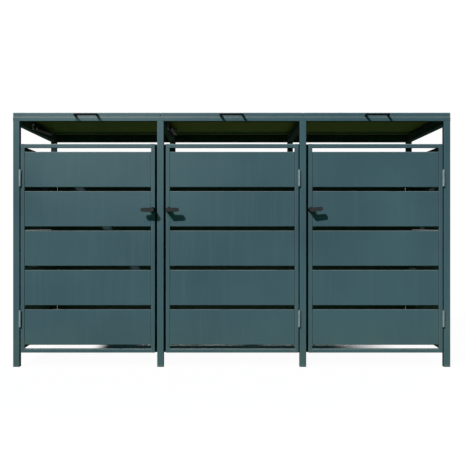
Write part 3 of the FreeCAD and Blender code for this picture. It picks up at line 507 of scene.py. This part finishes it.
def frameCorners(low, high, tube, across, up):
    # beads in the four inner corners of a tube frame, each along the frame's thin direction
    thin = 3 - across - up
    shapes = []
    for acrossSide in (-1, 1):
        for upSide in (-1, 1):
            corner = np.zeros(3)
            corner[across] = high[across] - tube if acrossSide > 0 else low[across] + tube
            corner[up] = high[up] - tube if upSide > 0 else low[up] + tube
            outward = np.zeros(3)
            outward[across], outward[up] = -acrossSide, -upSide
            start, end = corner.copy(), corner.copy()
            start[thin], end[thin] = low[thin] + weldBead["inset"], high[thin] - weldBead["inset"]
            shapes.append(weldShape(start, end, outward))
    return shapes


tubes = {"door": 0.018, "sheet": 0.0015}
stitch = {"length": 0.024, "heights": (0.14, 0.40, 0.68, 0.94)}
postBoxes = [boxOf(f"rear_post_{n}") for n in (1, 2, 3, 4)]
frontLow, frontHigh = boxOf("front_top_rail")
rearLow, rearHigh = boxOf("rear_top_rail")
railTop = rearHigh[2]


def makeFrameWelds():
    # the beads of the posts, the rails and the side frames, with stitches along the panels
    beads = []
    inFront, inRear, inset = frontHigh[1], rearLow[1], weldBead["inset"]
    for index, (low, high) in enumerate(postBoxes):
        for side, x in ((-1, low[0]), (1, high[0])):
            if (index, side) in ((0, -1), (3, 1)):
                continue
            # each post to its rail, then each cross rail to both rails
            for rail, y0, y1 in ((frontLow, frontLow[1], frontHigh[1]), (rearLow, rearLow[1], rearHigh[1])):
                beads.append(weldShape((x, y0 + inset, rail[2]), (x, y1 - inset, rail[2]), (side, 0, -1)))
            for y, facing, foot in ((inFront, 1, frontLow[2]), (inRear, -1, rearLow[2])):
                start, end = (x, y, foot + weldBead["footInset"]), (x, y, railTop - inset)
                beads.append(weldShape(start, end, (side, facing, 0)))
            # stitches that hold the rear panel to the post
            for z in stitch["heights"]:
                y = high[1] - tubes["sheet"]
                beads.append(weldShape((x, y, z), (x, y, z + stitch["length"]), (side, -1, 0)))
    for side, name in ((-1, "side_frame_left"), (1, "side_frame_right")):
        low, high = boxOf(name)
        beads += frameCorners(low, high, tubes["door"], across=1, up=2)
        x = high[0] if side < 0 else low[0]
        for y, facing in ((low[1], 1), (high[1], -1)):
            for z in stitch["heights"]:
                beads.append(weldShape((x, y, z), (x, y, z + stitch["length"]), (-side, facing, 0)))
    meshPiece("frame_welds", beads, "frame", "powder_coat")


makeFrameWelds()
for bay in bays:
    meshPiece(f"door_welds_{bay}", frameCorners(*boxOf(f"door_frame_{bay}"), tubes["door"], across=0, up=2),
              f"door_{bay}", "powder_coat")
print("welds made")

lidHinge = {"inset": 0.110, "screwPitch": 0.025, "screwRise": 0.010, "rivetPitch": 0.050, "rivetDrop": 0.0065,
            "leaf": 0.002}
doorHinge = {"screwPitch": 0.024, "halfGap": 0.0005, "behind": 0.015, "inset": 0.156}
leafBack = rearHigh[1] + lidHinge["leaf"]


def makeHingeFixings():
    # three screws in each lid hinge's fixed leaf and two rivets in its moving leaf
    screws = []
    fixedLow = boxOf("lid_hinge_fixed_leaves")[0]
    for bay in bays:
        low, high = boxOf(f"lid_panel_{bay}")
        rivets = []
        for x in (low[0] + lidHinge["inset"], high[0] - lidHinge["inset"]):
            for side in (-1, 0, 1):
                place = (x + side * lidHinge["screwPitch"], leafBack, fixedLow[2] + lidHinge["screwRise"])
                screws.append(screwHead(place, (0, 1, 0)))
            for side in (-1, 1):
                place = (x + side * lidHinge["rivetPitch"] / 2, leafBack, high[2] - lidHinge["rivetDrop"])
                rivets.append(rivetHead(place, (0, 1, 0)))
        meshPiece(f"lid_hinge_rivets_{bay}", rivets, f"lid_{bay}", "zinc_steel")

        # flat screws on both leaves of each door hinge
        axis = joints[f"door_{bay}_swing"]["pos_m"]
        doorLow, doorHigh = boxOf(f"door_frame_{bay}")
        toDoor = 1 if axis[0] < doorLow[0] else -1
        moving = []
        for middle in (doorLow[2] + doorHinge["inset"], doorHigh[2] - doorHinge["inset"]):
            for side in (-1, 0, 1):
                y, z = axis[1] + doorHinge["behind"], middle + side * doorHinge["screwPitch"]
                screws.append(flatHead((axis[0] - toDoor * doorHinge["halfGap"], y, z), (toDoor, 0, 0)))
                moving.append(flatHead((axis[0] + toDoor * doorHinge["halfGap"], y, z), (-toDoor, 0, 0)))
        meshPiece(f"door_hinge_screws_{bay}", moving, f"door_{bay}", "zinc_steel")
    meshPiece("hinge_screws", screws, "frame", "zinc_steel")


makeHingeFixings()

handleFixing = {"spread": 0.050, "size": 0.9}
strutFixing = {"behind": 0.014, "rises": (0.003, 0.016), "plate": 0.010, "size": 0.8}
grubScrew = {"size": 0.55, "hub": 0.011, "sunk": 0.0004, "depth": 0.038}


def makeFixings():
    strutScrews = []
    for bay in bays:
        # the handle is screwed on from behind the lid's fascia
        low, high = boxOf(f"lid_handle_{bay}")
        middle = (low + high) / 2
        inner = boxOf(f"lid_panel_{bay}")[0][1] + tubes["sheet"]
        places = [(middle[0] + side * handleFixing["spread"], inner, middle[2]) for side in (-1, 1)]
        screws = [screwHead(place, (0, 1, 0), handleFixing["size"]) for place in places]
        meshPiece(f"handle_screws_{bay}", screws, f"lid_{bay}", "zinc_steel")

        # the cam's nut behind the door and the grub screw under the lever's hub
        axis = joints[f"latch_{bay}_turn"]["pos_m"]
        camBack = boxOf(f"latch_cam_{bay}")[1][1]
        small = [nutShape((axis[0], camBack, axis[2]), (0, 1, 0))]
        place = (axis[0], axis[1] - grubScrew["depth"], axis[2] - grubScrew["hub"] + grubScrew["sunk"])
        small.append(screwHead(place, (0, 0, -1), grubScrew["size"]))
        meshPiece(f"latch_fixings_{bay}", small, f"latch_{bay}", "zinc_steel")

        # two screws hold each strut's plate on the cross rail
        pivot = joints[f"strut_{bay}_tilt"]["pos_m"]
        for rise in strutFixing["rises"]:
            place = (pivot[0] - strutFixing["plate"], pivot[1] - strutFixing["behind"], pivot[2] + rise)
            strutScrews.append(screwHead(place, (1, 0, 0), strutFixing["size"]))
    meshPiece("strut_screws", strutScrews, "frame", "zinc_steel")


makeFixings()
print("fasteners made")

seamSeal = {"width": 0.0018, "top": 0.0025, "frontInset": 0.0012, "rearInset": 0.003, "chamfer": 0.0003}


barEnds = {"tip": 1e-3, "face": 0.9}     # shares of the section that close and chamfer a bar's ends


def barShape(low, high, chamfer):
    # a bar along y: a rectangle with cut corners, whose section shrinks to a tip at both ends
    x, z = (low[0] + high[0]) / 2, (low[2] + high[2]) / 2
    a, b, c = (high[0] - low[0]) / 2, (high[2] - low[2]) / 2, chamfer
    rightHalf = [(a, -b + c), (a, b - c), (a - c, b)]
    leftHalf = [(-a + c, b), (-a, b - c), (-a, -b + c), (-a + c, -b)]
    ring = np.array(rightHalf + leftHalf + [(a - c, -b)])
    start, end, tip, face = low[1], high[1], barEnds["tip"], barEnds["face"]
    verts = []
    for y, share in ((start, tip), (start, face), (start + c, 1.0), (end - c, 1.0), (end, face), (end, tip)):
        verts.append(np.stack([x + ring[:, 0] * share, np.full(len(ring), y), z + ring[:, 1] * share], axis=-1))
    return np.concatenate(verts), gridFaces(len(verts), len(ring))


def makeSeamSeals():
    # a rubber fin stands on the frame in each seam between two lids
    shapes = []
    for left, right in ((1, 2), (2, 3)):
        leftHigh, rightLow = boxOf(f"lid_panel_{left}")[1], boxOf(f"lid_panel_{right}")[0]
        middle, half = (leftHigh[0] + rightLow[0]) / 2, seamSeal["width"] / 2
        low = (middle - half, rightLow[1] + seamSeal["frontInset"], railTop)
        high = (middle + half, leftHigh[1] - seamSeal["rearInset"], leftHigh[2] - seamSeal["top"])
        shapes.append(barShape(low, high, seamSeal["chamfer"]))
    meshPiece("lid_seam_seals", shapes, "frame", "rubber")


makeSeamSeals()

gapSeal = {"thick": 0.0043, "front": 0.0085, "depth": 0.009, "past": 0.003, "chamfer": 0.0008}


def uprightBar(low, high, chamfer):
    # the same bar turned to stand along z
    verts, faces = barShape((low[0], low[2], -high[1]), (high[0], high[2], -low[1]), chamfer)
    return np.stack([verts[:, 0], -verts[:, 2], verts[:, 1]], axis=-1), faces


def makeHingeSeals():
    # a rubber strip on the post fills the hinge gap of each door, between the hinge leaves
    leafTop = boxOf("door_hinge_fixed_leaves")[1][2]
    shapes = []
    for bay in bays:
        axis = joints[f"door_{bay}_swing"]["pos_m"]
        low, high = boxOf(f"door_frame_{bay}")
        door = low[0] if axis[0] < low[0] else high[0]
        post = 2 * axis[0] - door
        left, right = sorted((post, post + math.copysign(gapSeal["thick"], door - post)))
        front = low[1] + gapSeal["front"]
        lowHinge, highHinge = low[2] + doorHinge["inset"], high[2] - doorHinge["inset"]
        reach = leafTop - highHinge + gapSeal["past"]
        spans = ((low[2], lowHinge - reach), (lowHinge + reach, highHinge - reach), (highHinge + reach, high[2]))
        for bottom, top in spans:
            start, end = (left, front, bottom), (right, front + gapSeal["depth"], top)
            shapes.append(uprightBar(start, end, gapSeal["chamfer"]))
    meshPiece("hinge_gap_seals", shapes, "frame", "rubber")


makeHingeSeals()

cornerSeal = {"width": 0.0018, "depth": 0.0018, "chamfer": 0.0005}


def makeCornerSeals():
    # a bead of sealant indoors closes the seam between each rear panel and its posts
    shapes = []
    width = cornerSeal["width"]
    for bay in bays:
        low, high = boxOf(f"rear_panel_{bay}")
        leftPost, rightPost = boxOf(f"rear_post_{bay}")[1][0], boxOf(f"rear_post_{bay + 1}")[0][0]
        for left, right in ((leftPost, leftPost + width), (rightPost - width, rightPost)):
            start, end = (left, low[1] - cornerSeal["depth"], low[2]), (right, low[1], high[2])
            shapes.append(uprightBar(start, end, cornerSeal["chamfer"]))
    meshPiece("rear_corner_seals", shapes, "frame", "rubber")


makeCornerSeals()
print("seals made")

stage = {
    "floorSize": 30.0,
    "shadowShare": 0.035,       # how much of the cast shadows the white floor keeps
    "bounce": "#5c7c3c",        # grass, which tints what looks down at it
    "white": (1.0, 1.0, 1.0, 1.0),
    "sky": "#40a2cf",           # a blue sky, which tints what looks up at it
    "skyStrength": 0.34,
    # where the ground's shade indoors begins and is full, along X and Y
    "coveredLeft": (-0.745, -0.655),
    "coveredRight": (0.92, 0.52),
    "coveredFront": (0.02, 0.16),
    "coveredBack": (0.46, 0.40),
}


def seenDirectly(tree):
    # 1 for camera, glossy and transmission rays
    rays = addNode(tree, "ShaderNodeLightPath").outputs
    seen = calculate(tree, "ADD", rays["Is Camera Ray"], rays["Is Glossy Ray"])
    return calculate(tree, "ADD", seen, rays["Is Transmission Ray"], clamp=True)


def makeFloor():
    # seen directly, the floor is white and keeps a light shadow; to the object it is a lawn
    mesh = bpy.data.meshes.new("studioFloor")
    half = stage["floorSize"] / 2
    corners = [(-half, -half, 0), (half, -half, 0), (half, half, 0), (-half, half, 0)]
    mesh.from_pydata(corners, [], [(0, 1, 2, 3)])
    floor = bpy.data.objects.new("studioFloor", mesh)
    bpy.context.scene.collection.objects.link(floor)
    material, tree, shader = newMaterial("paleFloor")
    # the ground inside the store stays in shade, most of all in its middle
    spot = addNode(tree, "ShaderNodeSeparateXYZ", {"Vector": objectPlace(tree)})
    covered = 1.0
    for axis, key in (("X", "coveredLeft"), ("X", "coveredRight"), ("Y", "coveredFront"), ("Y", "coveredBack")):
        covered = multiply(tree, covered, mapTo(tree, spot.outputs[axis], *stage[key], smooth=True))
    glow = mapTo(tree, covered, 0.0, 1.0, 1.0 - stage["shadowShare"], 0.0)
    dull = addNode(tree, "ShaderNodeBsdfDiffuse", {"Color": linearColor(stage["bounce"])}).outputs[0]
    pale = addNode(tree, "ShaderNodeBsdfDiffuse", {"Color": stage["white"]}).outputs[0]
    white = addNode(tree, "ShaderNodeEmission", {"Color": stage["white"], "Strength": 1.0}).outputs[0]
    lit = addNode(tree, "ShaderNodeMixShader", {0: glow, 1: pale, 2: white}).outputs[0]
    whole = addNode(tree, "ShaderNodeMixShader", {0: seenDirectly(tree), 1: dull, 2: lit}).outputs[0]
    tree.links.new(whole, tree.nodes["Material Output"].inputs["Surface"])
    tree.nodes.remove(shader)
    mesh.materials.append(material)


makeFloor()

cameraView = {"x": -0.008, "distance": 3.640, "height": 0.642, "lens": 61.64, "shiftX": 0.0055, "shiftY": -0.0129}
cameraData = bpy.data.cameras.new("photoCamera")
cameraData.lens = cameraView["lens"]
cameraData.shift_x = cameraView["shiftX"]
cameraData.shift_y = cameraView["shiftY"]
camera = bpy.data.objects.new("photoCamera", cameraData)
camera.location = (cameraView["x"], frontLow[1] - cameraView["distance"], cameraView["height"])
camera.rotation_euler = (math.pi / 2, 0, 0)
bpy.context.scene.collection.objects.link(camera)
bpy.context.scene.camera = camera

# each lamp shines from azimuth degrees left of the front and elevation degrees up
lamps = {
    "keyLight": {"kind": "SUN", "azimuth": 33.5, "elevation": 38.5, "energy": 3.65, "color": "#fffcf8",
                 "settings": {"angle": math.radians(0.7)}},
    "backFill": {"kind": "SUN", "azimuth": 215, "elevation": 50, "energy": 1.6, "color": "#eef3fa",
                 "settings": {"angle": math.radians(25)}},
    "cornerGlow": {"kind": "SPOT", "azimuth": 12.5, "elevation": 32.0, "energy": 390.0, "color": "#ffcfba",
                   "place": (-1.1, -2.3, 3.1),
                   "settings": {"spot_size": 0.76, "spot_blend": 1.0, "shadow_soft_size": 0.25}},
    # light that the sunny lawn throws up under the lids
    "lawnGlow": {"kind": "AREA", "azimuth": 0.0, "elevation": -90.0, "energy": 3.6, "color": "#c6d982",
                 "place": (0.10, -0.14, 0.004),
                 "settings": {"shape": "RECTANGLE", "size": 1.9, "size_y": 0.50}},
}


def addLamp(name, values):
    data = bpy.data.lights.new(name, values["kind"])
    data.energy = values["energy"]
    data.color = linearColor(values["color"])[:3]
    for key, value in values["settings"].items():
        setattr(data, key, value)
    lamp = bpy.data.objects.new(name, data)
    lamp.location = values.get("place", (0, 0, 0))
    lamp.rotation_euler = (math.radians(90 - values["elevation"]), 0, math.radians(-values["azimuth"]))
    # an area lamp would show in the picture and in glossy faces
    lamp.visible_camera = lamp.visible_glossy = lamp.visible_transmission = values["kind"] != "AREA"
    bpy.context.scene.collection.objects.link(lamp)


for lampName, lampValues in lamps.items():
    addLamp(lampName, lampValues)

world = bpy.data.worlds.new("studioWorld")
bpy.context.scene.world = world
world.use_nodes = True
worldTree = world.node_tree
skyInputs = {"Color": linearColor(stage["sky"]), "Strength": stage["skyStrength"]}
ambient = addNode(worldTree, "ShaderNodeBackground", skyInputs).outputs[0]
backdrop = addNode(worldTree, "ShaderNodeBackground", {"Color": stage["white"], "Strength": 1.0}).outputs[0]
mixed = addNode(worldTree, "ShaderNodeMixShader", {0: seenDirectly(worldTree), 1: ambient, 2: backdrop}).outputs[0]
worldTree.links.new(mixed, worldTree.nodes["World Output"].inputs["Surface"])
bpy.context.scene.view_settings.view_transform = "Standard"
print("floor, camera, lamps and sky set")
